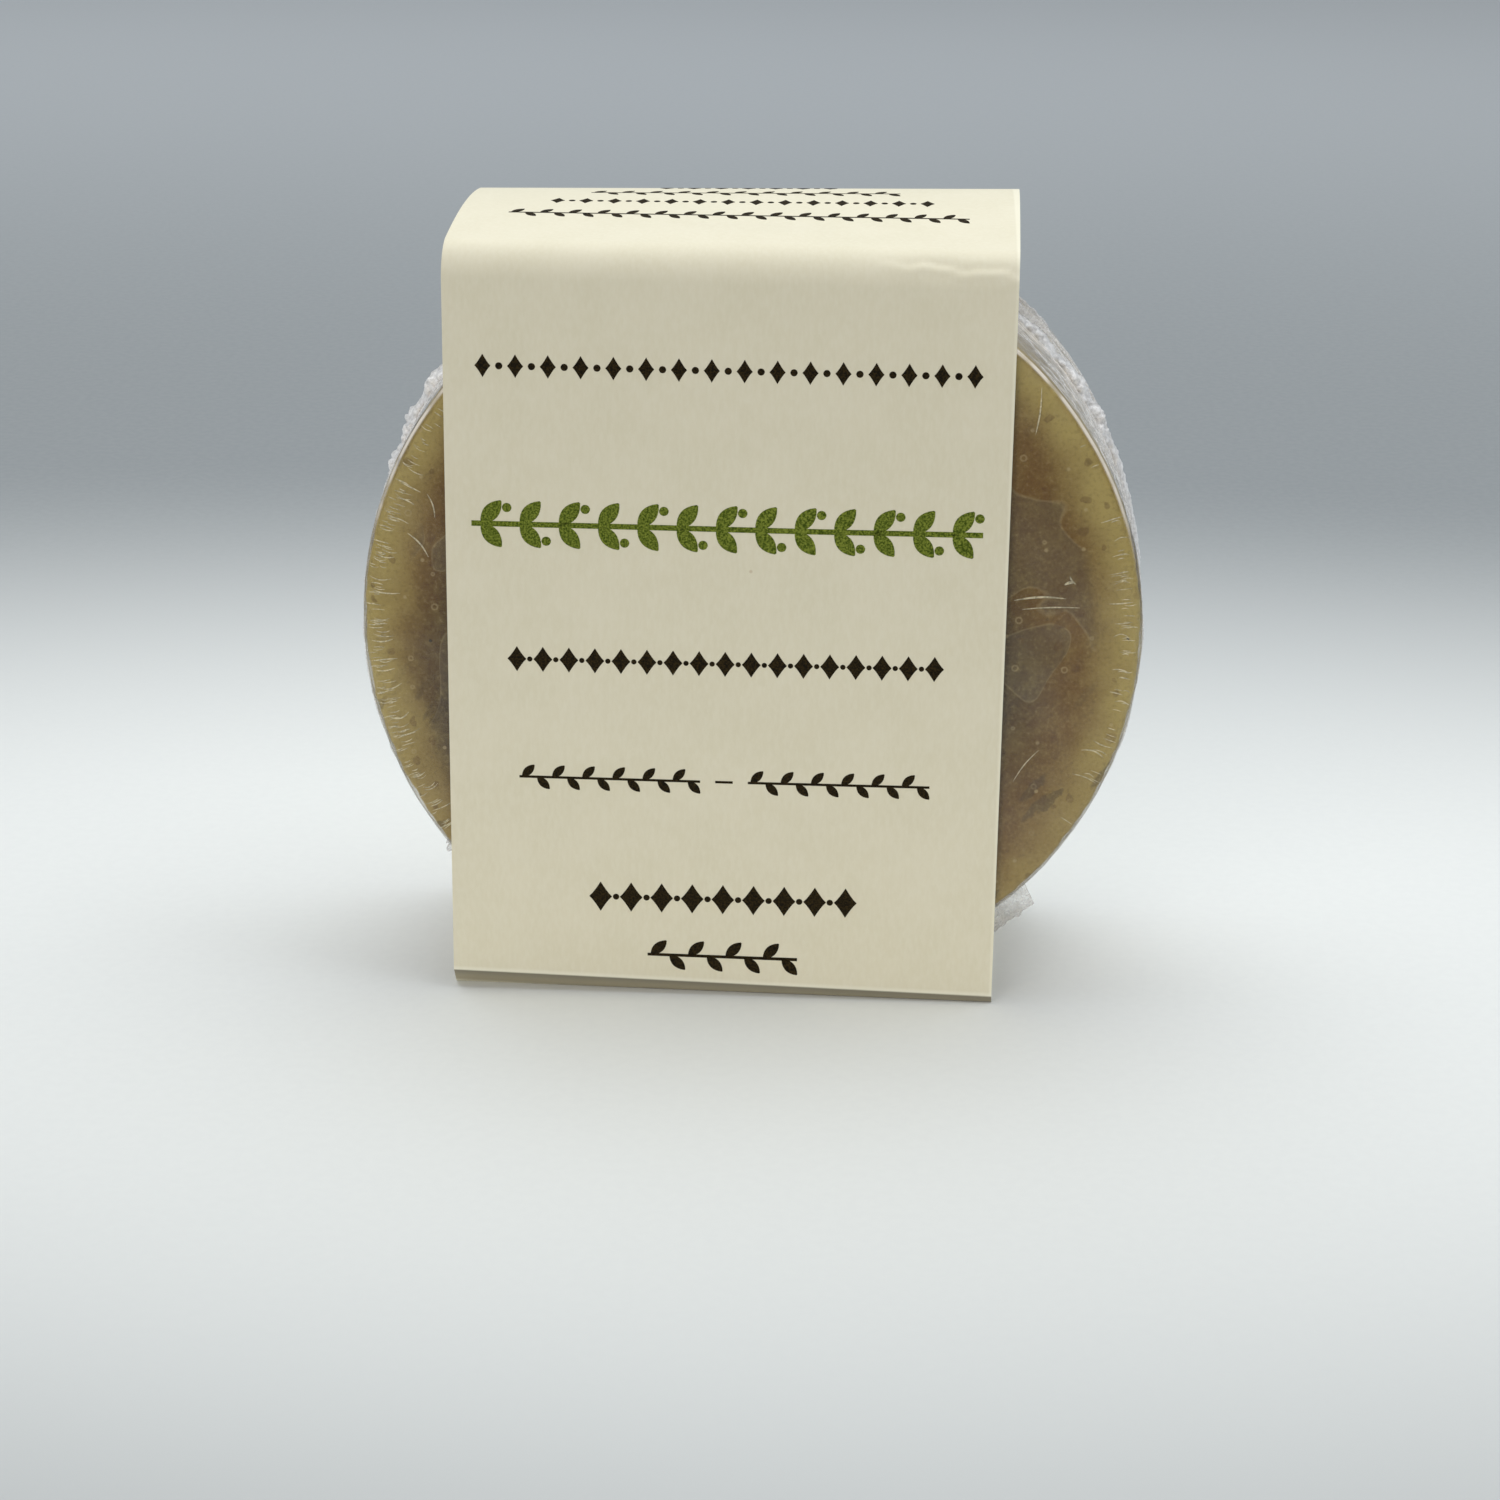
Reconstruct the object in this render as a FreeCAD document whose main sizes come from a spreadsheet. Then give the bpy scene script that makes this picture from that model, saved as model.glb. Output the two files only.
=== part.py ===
import FreeCAD, Part
import math
import os

import Sketcher

# A round cake of shaving soap in clear shrink film, standing on edge inside a folded paper band.
# Millimetres. +Z is up, the front face looks along -Y, and the puck's axis runs along Y.
# The origin lies on the plane the band rests on, straight under the middle of the puck.

doc = FreeCAD.newDocument("shaving_soap_puck")

SIZES = {
    # soap
    "puck_radius": 38.1,
    "puck_thickness": 25.4,
    "edge_radius": 2.5,
    # shrink film: a little thicker than the real sheet, so that it holds as a solid
    "film_thickness": 0.1,
    "film_gap": 0.05,
    # weld ridge where the two film sheets meet; its place is counted from the middle of the side wall
    "seam_place": 0.5,
    "seam_width": 1.6,
    "seam_height": 1,
    "seam_crest_width": 0.5,
    "seam_crest_radius": 0.3,
    "seam_gap": 0.05,
    "flap_thickness": 0.15,
    "flap_root_depth": 0.5,
    # how far a flap's straight tip runs to either side of its middle, as shares of its spread
    "flap_tip_low": 0.17,
    "flap_tip_high": 0.25,
    # paper band
    "paper_thickness": 0.25,
    "strip_width": 54.8,
    "strip_shift": -2.6,
    "rest_gap": 0.05,
    "front_room": 0.45,
    "back_room": 0.4,
    "top_room": 0.06,
    "bend_radius": 3.3,
    "crown_slope": 2.5,
    "fold_radius": 0.6,
    "under_slope": 20,
    # overlap of the strip's ends on the underside, and the adhesive strip in it
    "lap": 13,
    "glue_thickness": 0.08,
    "glue_margin": 2,
}

# Flaps of film left standing out of the weld ridge: place on the clock face in degrees from +X
# towards +Z, how far each stands out of the ridge, and its width along the ridge in degrees.
FLAPS = {
    "lower_right": {"angle": -48, "reach": 4.8, "spread": 9},
    "lower_left": {"angle": -139, "reach": 1.4, "spread": 7},
    "upper_right": {"angle": 52, "reach": 1.2, "spread": 16},
}
for flap, values in FLAPS.items():
    for word, value in values.items():
        SIZES[f"{flap}_{word}"] = value


def make_sheet():
    """The driving dimensions, one named cell each."""
    sheet = doc.addObject("Spreadsheet::Sheet", "Sizes")
    for row, (alias, value) in enumerate(SIZES.items(), start=1):
        sheet.set(f"A{row}", alias.replace("_", " "))
        sheet.set(f"B{row}", str(value))
        sheet.setAlias(f"B{row}", alias)
    doc.recompute()


make_sheet()

# Lengths that several pieces share, written as sums of the sheet's cells.
HALF = "Sizes.puck_thickness / 2"
FILM_STACK = "(Sizes.film_gap + Sizes.film_thickness)"
FILM_IN = "(Sizes.puck_radius + Sizes.film_gap)"
FILM_OUT = f"(Sizes.puck_radius + {FILM_STACK})"
FILM_ROUND = f"(Sizes.edge_radius + {FILM_STACK})"
INNER_LAYER = "(Sizes.paper_thickness + Sizes.glue_thickness)"
AXIS_HEIGHT = f"({INNER_LAYER} + Sizes.paper_thickness + Sizes.rest_gap + {FILM_OUT})"
BAND_FRONT = f"({HALF} + {FILM_STACK} + Sizes.front_room + Sizes.paper_thickness)"
BAND_BACK = f"({HALF} + {FILM_STACK} + Sizes.back_room + Sizes.paper_thickness)"


def new_body(label, shift_x=None, lift_z=None):
    """An empty body; its placement follows the sheet along X or Z where a formula is given."""
    body = doc.addObject("PartDesign::Body", label)
    body.Label = label
    body.Placement = FreeCAD.Placement()
    if shift_x:
        body.setExpression(".Placement.Base.x", shift_x)
    if lift_z:
        body.setExpression(".Placement.Base.z", lift_z)
    return body


def new_sketch(body, name, role, offset=None):
    """A sketch on one of the body's own origin planes, moved along the plane's normal by offset."""
    sketch = body.newObject("Sketcher::SketchObject", name)
    plane = [f for f in body.Origin.OriginFeatures if f.Role == role][0]
    sketch.AttachmentSupport = [(plane, "")]
    sketch.MapMode = "FlatFace"
    if offset:
        sketch.setExpression(".AttachmentOffset.Base.z", offset)
    doc.recompute()
    return sketch


def arc_between(start, end, radius, turn):
    """The short arc from start to end, turning left (1) or right (-1), as circle and two angles."""
    chord = end - start
    middle = (start + end) * 0.5
    sag = math.sqrt(max(radius**2 - (chord.Length / 2) ** 2, 0))
    across = FreeCAD.Vector(-chord.y, chord.x, 0).normalize()
    centre = middle + across * sag * turn
    first, last = (start, end) if turn > 0 else (end, start)
    angle_a = math.atan2(first.y - centre.y, first.x - centre.x)
    angle_b = math.atan2(last.y - centre.y, last.x - centre.x)
    if angle_b < angle_a:
        angle_b += 2 * math.pi
    circle = Part.Circle(centre, FreeCAD.Vector(0, 0, 1), radius)
    return Part.ArcOfCircle(circle, angle_a, angle_b)


def pin_to(sketch, piece, end, kind, formula):
    """A horizontal or vertical dimension from the sketch's origin to one end of a piece."""
    value = float(sketch.evalExpression(formula))
    index = sketch.addConstraint(Sketcher.Constraint(kind, -1, 1, piece, end, value))
    sketch.setExpression(f"Constraints[{index}]", formula)


def draw_outline(sketch, steps):
    """A closed, fully dimensioned outline. A step is (across, up) for a straight stretch to that point,
    or (across, up, radius, turn) for an arc to it. All are formulas over the sheet."""
    spots = [FreeCAD.Vector(float(sketch.evalExpression(s[0])), float(sketch.evalExpression(s[1])), 0)
             for s in steps]
    pieces = []
    for k, step in enumerate(steps):
        start, end = spots[k - 1], spots[k]
        if len(step) == 2:
            piece = sketch.addGeometry(Part.LineSegment(start, end), False)
            pieces.append((piece, 1, 2))
            continue
        radius, turn = step[2], step[3]
        size = float(sketch.evalExpression(radius))
        piece = sketch.addGeometry(arc_between(start, end, size, turn), False)
        pieces.append((piece, 1, 2) if turn > 0 else (piece, 2, 1))
        index = sketch.addConstraint(Sketcher.Constraint("Radius", piece, size))
        sketch.setExpression(f"Constraints[{index}]", radius)
    for k, (piece, _, finish) in enumerate(pieces):
        following, beginning, _ = pieces[(k + 1) % len(pieces)]
        sketch.addConstraint(Sketcher.Constraint("Coincident", piece, finish, following, beginning))
        pin_to(sketch, piece, finish, "DistanceX", steps[k][0])
        pin_to(sketch, piece, finish, "DistanceY", steps[k][1])
    doc.recompute()


def spin(body, sketch, name):
    """Turns a profile drawn in the YZ plane once round the puck's axis."""
    feature = body.newObject("PartDesign::Revolution", name)
    feature.Profile = sketch
    feature.ReferenceAxis = (sketch, ["H_Axis"])
    feature.Angle = 360
    return feature


def extrude(body, sketch, name, length):
    """Pads a sketch by the same amount to both sides of its plane."""
    feature = body.newObject("PartDesign::Pad", name)
    feature.Profile = sketch
    feature.setExpression("Length", length)
    feature.Midplane = True
    return feature


def soap_puck():
    """The cake of soap: a plain disc with both edges rounded."""
    body = new_body("soap_puck", lift_z=AXIS_HEIGHT)
    sketch = new_sketch(body, "soap_profile", "YZ_Plane")
    rim, edge = "Sizes.puck_radius", "Sizes.edge_radius"
    draw_outline(sketch, [
        (f"0 - {HALF}", "0"),
        (f"0 - {HALF}", f"{rim} - {edge}"),
        (f"{edge} - {HALF}", rim, edge, -1),
        (f"{HALF} - {edge}", rim),
        (HALF, f"{rim} - {edge}", edge, -1),
        (HALF, "0"),
    ])
    spin(body, sketch, "soap_disc")
    return body


def film_sheet(label, side):
    """One sheet of film: a shallow cup over one face (side -1 front, 1 back) as far as the weld ridge."""
    body = new_body(label, lift_z=AXIS_HEIGHT)
    sketch = new_sketch(body, f"{label}_profile", "YZ_Plane")
    inner_face = f"{side} * ({HALF} + Sizes.film_gap)"
    outer_face = f"{side} * ({HALF} + {FILM_STACK})"
    inner_round = "(Sizes.edge_radius + Sizes.film_gap)"
    brim = f"Sizes.seam_place + {side} * (Sizes.seam_width / 2 + Sizes.seam_gap)"
    draw_outline(sketch, [
        (outer_face, "0"),
        (outer_face, f"{FILM_OUT} - {FILM_ROUND}"),
        (f"{outer_face} - {side} * {FILM_ROUND}", FILM_OUT, FILM_ROUND, side),
        (brim, FILM_OUT),
        (brim, FILM_IN),
        (f"{inner_face} - {side} * {inner_round}", FILM_IN),
        (inner_face, f"{FILM_IN} - {inner_round}", inner_round, -side),
        (inner_face, "0"),
    ])
    spin(body, sketch, f"{label}_cup")
    return body


def polar(radius, angle):
    """A point on the puck's round, in the XZ plane."""
    return f"{radius} * cos({angle})", f"{radius} * sin({angle})"


def film_seam():
    """The weld ridge: a bead round the side wall, pressed flat where the band passes over and under it,
    with thin trimmed flaps of film standing out of it."""
    body = new_body("film_seam", lift_z=AXIS_HEIGHT)
    start = "Sizes.seam_place - Sizes.seam_width / 2"
    end = "Sizes.seam_place + Sizes.seam_width / 2"
    crest_foot = f"{FILM_OUT} + Sizes.seam_height - Sizes.seam_crest_radius"
    sketch = new_sketch(body, "bead_profile", "YZ_Plane")
    draw_outline(sketch, [
        (start, FILM_IN),
        (start, FILM_OUT),
        ("Sizes.seam_place - Sizes.seam_crest_width / 2", crest_foot),
        ("Sizes.seam_place + Sizes.seam_crest_width / 2", crest_foot, "Sizes.seam_crest_radius", -1),
        (end, FILM_OUT),
        (end, FILM_IN),
    ])
    spin(body, sketch, "bead")
    root = f"({FILM_OUT} + Sizes.seam_height - Sizes.flap_root_depth)"
    for flap in FLAPS:
        angle, spread = f"Sizes.{flap}_angle", f"Sizes.{flap}_spread"
        tip = f"({FILM_OUT} + Sizes.seam_height + Sizes.{flap}_reach)"
        sketch = new_sketch(body, f"{flap}_flap_outline", "XZ_Plane", "0 - Sizes.seam_place")
        draw_outline(sketch, [
            polar(root, f"({angle} - {spread} / 2)"),
            polar(tip, f"({angle} - {spread} * Sizes.flap_tip_low)"),
            polar(tip, f"({angle} + {spread} * Sizes.flap_tip_high)"),
            polar(root, f"({angle} + {spread} / 2)"),
        ])
        extrude(body, sketch, f"{flap}_flap", "Sizes.flap_thickness")
    doc.recompute()
    before = body.Shape.Volume
    outside = f"({FILM_OUT} + 2 * Sizes.seam_height)"
    sketch = new_sketch(body, "pressed_flats", "XZ_Plane")
    for side in (-1, 1):
        draw_outline(sketch, [
            (f"0 - {outside}", f"{side} * {FILM_OUT}"),
            (outside, f"{side} * {FILM_OUT}"),
            (outside, f"{side} * {outside}"),
            (f"0 - {outside}", f"{side} * {outside}"),
        ])
    cut = body.newObject("PartDesign::Pocket", "flats")
    cut.Profile = sketch
    cut.Type = "ThroughAll"
    cut.Midplane = True
    doc.recompute()
    if not body.Shape.Volume < before:
        raise RuntimeError("the ridge was not pressed flat")
    return body


def lower_corner(side, face, level, depth):
    """The strip's corner under one edge of the puck: a tight fold, a short slope and a wide heel that runs
    into the flat underside. side is -1 for the front and 1 for the back, face is how far that panel's outer
    face is from the middle, level is the height of the layer's lower face, and depth is as in strip_side."""
    fold, slope = "Sizes.fold_radius", "Sizes.under_slope"
    heel_place = f"({HALF} + {FILM_STACK} - {FILM_ROUND})"
    heel_height = f"({AXIS_HEIGHT} - {FILM_OUT} + {FILM_ROUND})"
    heel = f"({heel_height} - {level})"
    fold_place = f"({face} - {fold})"
    fold_height = (f"({heel_height} - ({heel} - {fold} - sin({slope}) * ({fold_place} - {heel_place}))"
                   f" / cos({slope}))")
    return {
        "panel_end": (f"{side} * ({face} - {depth})", fold_height),
        "fold_end": (f"{side} * ({fold_place} + ({fold} - {depth}) * sin({slope}))",
                     f"{fold_height} - ({fold} - {depth}) * cos({slope})"),
        "heel_start": (f"{side} * ({heel_place} + ({heel} - {depth}) * sin({slope}))",
                       f"{heel_height} - ({heel} - {depth}) * cos({slope})"),
        "heel_end": (f"{side} * {heel_place}", f"{level} + {depth}"),
        "fold_radius": f"{fold} - {depth}",
        "heel_radius": f"{heel} - {depth}",
    }


def strip_side(depth):
    """One face of the folded strip: from its inner end under the puck, up the back, over the top, down the
    front and under again to its outer end. depth counts from the outside face towards the puck."""
    bend, slope = "Sizes.bend_radius", "Sizes.crown_slope"
    inner_bend = f"({bend} - Sizes.paper_thickness)"
    bend_height = f"({AXIS_HEIGHT} + {FILM_OUT} + Sizes.top_room - {inner_bend} * cos({slope}))"
    run, rise = f"({bend} - {depth}) * sin({slope})", f"({bend} - {depth}) * cos({slope})"
    crown_front, crown_back = f"({bend} - {run} - {BAND_FRONT})", f"({BAND_BACK} - {bend} + {run})"
    crown_radius = f"(({crown_back} - {crown_front}) / (2 * sin({slope})))"
    back = lower_corner(1, BAND_BACK, INNER_LAYER, depth)
    front = lower_corner(-1, BAND_FRONT, "0", depth)
    return [
        ("0 - Sizes.lap / 2", f"{INNER_LAYER} + {depth}"),
        back["heel_end"],
        back["heel_start"] + (back["heel_radius"], 1),
        back["fold_end"],
        back["panel_end"] + (back["fold_radius"], 1),
        (f"{BAND_BACK} - {depth}", bend_height),
        (crown_back, f"{bend_height} + {rise}", f"{bend} - {depth}", 1),
        (crown_front, f"{bend_height} + {rise}", crown_radius, 1),
        (f"{depth} - {BAND_FRONT}", bend_height, f"{bend} - {depth}", 1),
        front["panel_end"],
        front["fold_end"] + (front["fold_radius"], 1),
        front["heel_start"],
        front["heel_end"] + (front["heel_radius"], 1),
        ("Sizes.lap / 2", depth),
    ]


def reversed_side(steps):
    """The same points walked backwards: each arc moves to the step that now ends it, turning the other way."""
    backwards = [steps[-1][:2]]
    for k in range(len(steps) - 1, 0, -1):
        arc = (steps[k][2], -steps[k][3]) if len(steps[k]) == 4 else ()
        backwards.append(steps[k - 1][:2] + arc)
    return backwards


def paper_band():
    """One strip of stiff paper folded round the puck, its ends lapped over each other on the underside."""
    body = new_body("paper_band", shift_x="Sizes.strip_shift")
    sketch = new_sketch(body, "strip_section", "YZ_Plane")
    outer_face = strip_side("0")
    inner_face = strip_side("Sizes.paper_thickness")
    draw_outline(sketch, outer_face + reversed_side(inner_face))
    extrude(body, sketch, "strip", "Sizes.strip_width")
    return body


def band_glue():
    """The adhesive strip that fills the space between the lapped ends."""
    body = new_body("band_glue", shift_x="Sizes.strip_shift")
    sketch = new_sketch(body, "glue_section", "YZ_Plane")
    low, high = "Sizes.paper_thickness", INNER_LAYER
    reach = "(Sizes.lap / 2 - Sizes.glue_margin)"
    draw_outline(sketch, [(f"0 - {reach}", low), (reach, low), (reach, high), (f"0 - {reach}", high)])
    extrude(body, sketch, "glue_line", "Sizes.strip_width - 2 * Sizes.glue_margin")
    return body


pieces = [
    soap_puck(),
    film_sheet("film_front", -1),
    film_sheet("film_back", 1),
    film_seam(),
    paper_band(),
    band_glue(),
]
doc.recompute()

for item in doc.Objects:
    if {"Invalid", "Error"} & set(item.State):
        raise RuntimeError(f"{item.Name} failed: {item.State}")
for piece in pieces:
    if piece.Shape.isNull() or not piece.Shape.isValid() or piece.Shape.Volume <= 0:
        raise RuntimeError(f"{piece.Label} has no valid shape")

os.makedirs("parts", exist_ok=True)
for piece in pieces:
    piece.Shape.exportStep(os.path.join("parts", f"{piece.Label}.step"))
    box = piece.Shape.BoundBox
    print(f"{piece.Label}: {piece.Shape.Volume:.2f} mm3, {len(piece.Shape.Solids)} solid(s), "
          f"x {box.XMin:.2f}..{box.XMax:.2f}, y {box.YMin:.2f}..{box.YMax:.2f}, "
          f"z {box.ZMin:.2f}..{box.ZMax:.2f}")
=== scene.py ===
import math

import bpy
import bmesh
import numpy as np
from mathutils import Matrix, Vector


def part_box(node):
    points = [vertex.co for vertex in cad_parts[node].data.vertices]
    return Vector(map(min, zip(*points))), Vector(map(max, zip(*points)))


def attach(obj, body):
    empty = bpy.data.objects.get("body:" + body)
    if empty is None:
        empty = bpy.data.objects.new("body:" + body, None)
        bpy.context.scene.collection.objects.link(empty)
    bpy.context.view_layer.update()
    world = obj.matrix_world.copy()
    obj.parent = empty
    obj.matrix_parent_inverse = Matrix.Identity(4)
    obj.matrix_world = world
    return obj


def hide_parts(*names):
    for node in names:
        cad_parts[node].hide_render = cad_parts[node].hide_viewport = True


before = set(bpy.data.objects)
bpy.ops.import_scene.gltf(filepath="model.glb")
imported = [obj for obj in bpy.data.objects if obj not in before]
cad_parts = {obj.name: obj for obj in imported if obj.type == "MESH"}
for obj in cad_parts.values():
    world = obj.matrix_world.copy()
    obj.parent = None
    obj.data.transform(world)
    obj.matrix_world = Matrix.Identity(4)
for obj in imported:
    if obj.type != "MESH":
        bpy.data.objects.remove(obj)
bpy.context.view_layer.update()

# The looks of a round cake of shaving soap in clear shrink film, standing on edge in a folded paper band.
# Metres, +Z up. The front face looks along -Y and the cake's axis runs along Y.

MM = 0.001

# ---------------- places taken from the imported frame

soap_low, soap_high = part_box("soap_puck")
film_low, film_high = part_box("film_front")
seam_low, seam_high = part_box("film_seam")
band_low, band_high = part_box("paper_band")
glue_low, glue_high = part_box("band_glue")

CENTRE = (soap_low + soap_high) / 2
SOAP_RADIUS = (soap_high.z - soap_low.z) / 2
SOAP_HALF = (soap_high.y - soap_low.y) / 2
FILM_RADIUS = (film_high.z - film_low.z) / 2
FILM_HALF = CENTRE.y - film_low.y
FRONT_BRIM = film_high.y
BACK_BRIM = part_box("film_back")[0].y
SEAM_MIDDLE = (seam_low.y + seam_high.y) / 2
BAND_MIDDLE = (band_low.x + band_high.x) / 2
BAND_HALF = (band_high.x - band_low.x) / 2
PAPER_THICKNESS = glue_low.z - band_low.z
LAP_LEVEL = glue_high.z

# The cake's edge is rounded a little on its open sides, and much more where the band presses on it.
OPEN_EDGE = 0.8 * MM
PRESSED_EDGE = 4.5 * MM
EDGE_RUN = OPEN_EDGE * math.pi / 2
FILM_THICKNESS = 0.05 * MM


# ---------------- small helpers for shapes

def smooth(low, high, value):
    """0 below low, 1 above high and an S-shaped rise between."""
    share = np.clip((value - low) / (high - low), 0, 1)
    return share * share * (3 - 2 * share)


def ripple(around, along, seed, turns, waves, count=24):
    """Smooth noise of about -1..1 that closes round a full turn. turns is the range of whole waves per turn,
    and waves the range of waves per metre along the other direction."""
    rng = np.random.default_rng(seed)
    total = np.zeros(np.broadcast(around, along).shape)
    for _ in range(count):
        whole = rng.integers(turns[0], turns[1] + 1) * rng.choice((-1, 1))
        rate = rng.uniform(waves[0], waves[1]) * 2 * math.pi
        total = total + np.sin(whole * around + rate * along + rng.uniform(0, 2 * math.pi))
    usual_peak = 1.6 * math.sqrt(count / 2)
    return total / usual_peak


def unit(rows):
    """Each row scaled to a length of one."""
    return rows / np.linalg.norm(rows, axis=1)[:, None]


def add_object(name, data):
    made = bpy.data.objects.new(name, data)
    bpy.context.scene.collection.objects.link(made)
    return made


def add_mesh(name, corners, faces, material):
    mesh = bpy.data.meshes.new(name)
    mesh.from_pydata(np.asarray(corners).tolist(), [], faces)
    mesh.shade_smooth()
    mesh.materials.append(material)
    return add_object(name, mesh)


def add_piece(name, corners, faces, material, body, stands_for=(), sharp=40):
    """A mesh object with outward normals. It rides on a CAD body, and may stand for some of its nodes."""
    piece = add_mesh(name, corners, faces, material)
    work = bmesh.new()
    work.from_mesh(piece.data)
    bmesh.ops.recalc_face_normals(work, faces=work.faces)
    work.to_mesh(piece.data)
    work.free()
    piece.data.set_sharp_from_angle(angle=math.radians(sharp))
    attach(piece, body)
    if stands_for:
        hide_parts(*stands_for)


def stitch(lower, upper, first_lower, first_upper):
    """Faces between two rings whose counts are equal or differ by a factor of two."""
    faces = []
    if lower == upper:
        for k in range(lower):
            following = (k + 1) % lower
            faces.append((first_lower + k, first_lower + following, first_upper + following, first_upper + k))
        return faces
    few, many = min(lower, upper), max(lower, upper)
    first_few, first_many = (first_lower, first_upper) if lower < upper else (first_upper, first_lower)
    for k in range(few):
        following = first_few + (k + 1) % few
        middle = first_many + 2 * k + 1
        after = first_many + (2 * k + 2) % many
        faces.append((first_few + k, following, middle))
        faces.append((first_few + k, middle, first_many + 2 * k))
        faces.append((following, after, middle))
    return faces


def stack_rings(rings):
    """Corners and faces of a closed skin through a stack of rings, with a cap at either end."""
    faces = []
    first = 0
    for ring, upper in zip(rings, rings[1:]):
        faces += stitch(len(ring), len(upper), first, first + len(ring))
        first += len(ring)
    faces.append(tuple(range(len(rings[0]))))
    faces.append(tuple(range(first, first + len(rings[-1]))))
    return np.concatenate(rings), faces


def tube_faces(points, first=0):
    """Faces of a tube, open at its ends, from a grid of rings: (rings, around, 3)."""
    rings, around = points.shape[:2]
    faces = []
    for k in range(rings - 1):
        faces += stitch(around, around, first + k * around, first + (k + 1) * around)
    return faces


def thick_sheet(outer, inner):
    """Corners and faces of a closed sheet from the two grids of its faces, each (rows, columns, 3)."""
    rows, columns = outer.shape[:2]
    corners = np.concatenate([outer.reshape(-1, 3), inner.reshape(-1, 3)])
    back = rows * columns
    faces = []
    for r in range(rows - 1):
        for c in range(columns - 1):
            a = r * columns + c
            faces.append((a, a + 1, a + columns + 1, a + columns))
            faces.append((back + a, back + a + columns, back + a + columns + 1, back + a + 1))
    grid = np.arange(back).reshape(rows, columns)
    rim = np.concatenate([grid[0], grid[1:, -1], grid[-1, -2::-1], grid[-2:0:-1, 0]]).tolist()
    for a, b in zip(rim, rim[1:] + rim[:1]):
        faces.append((a, back + a, back + b, b))
    return corners, faces


# ---------------- small helpers for materials

class Nodes:
    """A node material under construction."""

    def __init__(self, name):
        self.material = bpy.data.materials.new(name)
        self.material.use_nodes = True
        self.tree = self.material.node_tree
        self.tree.nodes.clear()
        self.place = self.add("TexCoord").outputs["Object"]

    def add(self, kind, inputs=None, **settings):
        node = self.tree.nodes.new("ShaderNode" + kind)
        for key, value in settings.items():
            setattr(node, key, value)
        for key, value in (inputs or {}).items():
            self.feed(node.inputs[key], value)
        return node

    def feed(self, socket, value):
        if isinstance(value, bpy.types.NodeSocket):
            self.tree.links.new(value, socket)
        else:
            socket.default_value = value

    def maths(self, operation, *values, clamp=False):
        inputs = dict(enumerate(values))
        return self.add("Math", inputs, operation=operation, use_clamp=clamp).outputs[0]

    def plus(self, first, second):
        return self.maths("ADD", first, second)

    def minus(self, first, second):
        return self.maths("SUBTRACT", first, second)

    def times(self, first, *others):
        for other in others:
            first = self.maths("MULTIPLY", first, other)
        return first

    def rest(self, share):
        """What a share leaves over of one."""
        return self.minus(1.0, share)

    def gap(self, value, place):
        """How far a value lies from a place, on either side."""
        return self.maths("ABSOLUTE", self.minus(value, place))

    def length(self, across, up):
        return self.maths("SQRT", self.plus(self.times(across, across), self.times(up, up)))

    def fade(self, value, low, high, start=0.0, end=1.0):
        """start below low, end above high, an S-shaped change between."""
        inputs = {"Value": value, "From Min": low, "From Max": high, "To Min": start, "To Max": end}
        return self.add("MapRange", inputs, interpolation_type="SMOOTHSTEP").outputs["Result"]

    def blend(self, share, first, second):
        """The first colour, with a share of the second over it."""
        return self.add("Mix", {0: share, 6: first, 7: second}, data_type="RGBA").outputs[2]

    def noise(self, place, scale, detail=2.0, roughness=0.5, distortion=0.0):
        return self.add("TexNoise", {"Vector": place, "Scale": scale, "Detail": detail,
                                     "Roughness": roughness, "Distortion": distortion}).outputs[0]

    def wander(self, scale, size):
        """A smooth offset of up to about half the size either way."""
        return self.times(self.minus(self.noise(self.place, scale, 3), 0.5), size)

    def stretch(self, place, scale):
        return self.add("Mapping", {"Vector": place, "Scale": scale}).outputs["Vector"]

    def split(self, place):
        return self.add("SeparateXYZ", {0: place}).outputs

    def cells(self, place, scale, dimensions="2D"):
        """Distance to the nearest random dot and two of that dot's own random numbers."""
        inputs = {"Vector": place, "Scale": scale}
        node = self.add("TexVoronoi", inputs, voronoi_dimensions=dimensions)
        own = self.add("SeparateColor", {"Color": node.outputs["Color"]}).outputs
        return node.outputs["Distance"], own[0], own[1]

    def dots(self, place, scale, rim, chosen, dimensions="2D"):
        """Scattered round dots. rim is where a dot starts and ends, and chosen the range of its random number
        over which it comes in."""
        near, pick, _ = self.cells(place, scale, dimensions)
        return self.times(self.fade(near, *rim), self.fade(pick, *chosen))

    def polar(self):
        """Place about the cake's axis: across, up, depth, distance from the axis, angle."""
        spot = self.add("VectorMath", {0: self.place, 1: tuple(CENTRE)}, operation="SUBTRACT")
        x, y, z = self.split(spot.outputs[0])
        return x, z, y, self.length(x, z), self.maths("ARCTAN2", z, x)

    def bump(self, height, strength, distance):
        inputs = {"Height": height, "Strength": strength, "Distance": distance}
        return self.add("Bump", inputs).outputs["Normal"]

    def mix(self, share, first, second):
        """The first shader, with a share of the second over it."""
        return self.add("MixShader", {0: share, 1: first, 2: second}).outputs[0]

    def principled(self, inputs):
        return self.add("BsdfPrincipled", inputs).outputs[0]

    def finish(self, shader):
        self.add("OutputMaterial", {"Surface": shader})
        return self.material


def tint(red, green, blue):
    """A colour given as screen values 0..255, as the linear numbers that a shader takes."""
    linear = [v / 255 / 12.92 if v / 255 <= 0.04045 else ((v / 255 + 0.055) / 1.055) ** 2.4
              for v in (red, green, blue)]
    return (*linear, 1.0)


# ---------------- materials

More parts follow.
